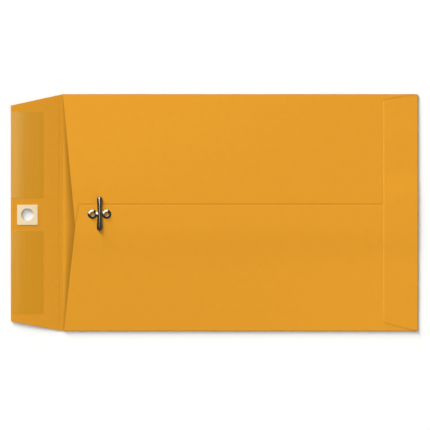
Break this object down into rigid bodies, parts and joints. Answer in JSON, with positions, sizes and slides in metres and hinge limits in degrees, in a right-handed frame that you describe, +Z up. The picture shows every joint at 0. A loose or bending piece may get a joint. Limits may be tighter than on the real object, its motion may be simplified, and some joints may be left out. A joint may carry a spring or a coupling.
{
  "type": "clasp envelope",
  "caption": "Open-end kraft paper envelope with a gummed folding flap, a reinforced hole and a metal clasp whose bendable prongs close it.",
  "frame": {"origin": "on the table, under the middle of the whole envelope with its flap open", "axes": "+X from the flap's free edge to the bottom fold, +Y along the mouth towards the upper side fold, +Z up from the address side to the clasp side"},
  "size_m": [0.262, 0.1524, 0.0029],
  "materials": {
    "kraft": "golden kraft paper, machine finished",
    "kraft_inside": "inner side of the kraft paper, uncoated",
    "gum": "dried remoistenable gum",
    "glue": "dried seam adhesive",
    "patch": "manila patch, gummed on",
    "tinplate": "pressed tinplate"
  },
  "bodies": {
    "envelope": {"face_panel": "kraft", "upper_back_panel": "kraft", "lower_back_panel": "kraft", "upper_side_fold": "kraft", "lower_side_fold": "kraft", "bottom_fold": "kraft", "bottom_flap": "kraft", "seam_glue": "glue", "bottom_glue": "glue", "clasp_base": "tinplate"},
    "flap": {"closure_flap": "kraft_inside", "upper_gum_strip": "gum", "lower_gum_strip": "gum", "hole_patch": "patch"},
    "upper_prong": {"upper_prong": "tinplate"},
    "lower_prong": {"lower_prong": "tinplate"}
  },
  "joints": [
    {"name": "flap_fold", "type": "hinge", "parent": "envelope", "child": "flap", "pos_m": [-0.0976, 0, 0.00035], "axis": [0, 1, 0], "range_deg": [0, 165]},
    {"name": "upper_prong_bend", "type": "hinge", "parent": "envelope", "child": "upper_prong", "pos_m": [-0.0739, 0, 0.00223], "axis": [1, 0, 0], "range_deg": [0, 90]},
    {"name": "lower_prong_bend", "type": "hinge", "parent": "envelope", "child": "lower_prong", "pos_m": [-0.0739, -0.002, 0.00223], "axis": [-1, 0, 0], "range_deg": [0, 90]}
  ]
}
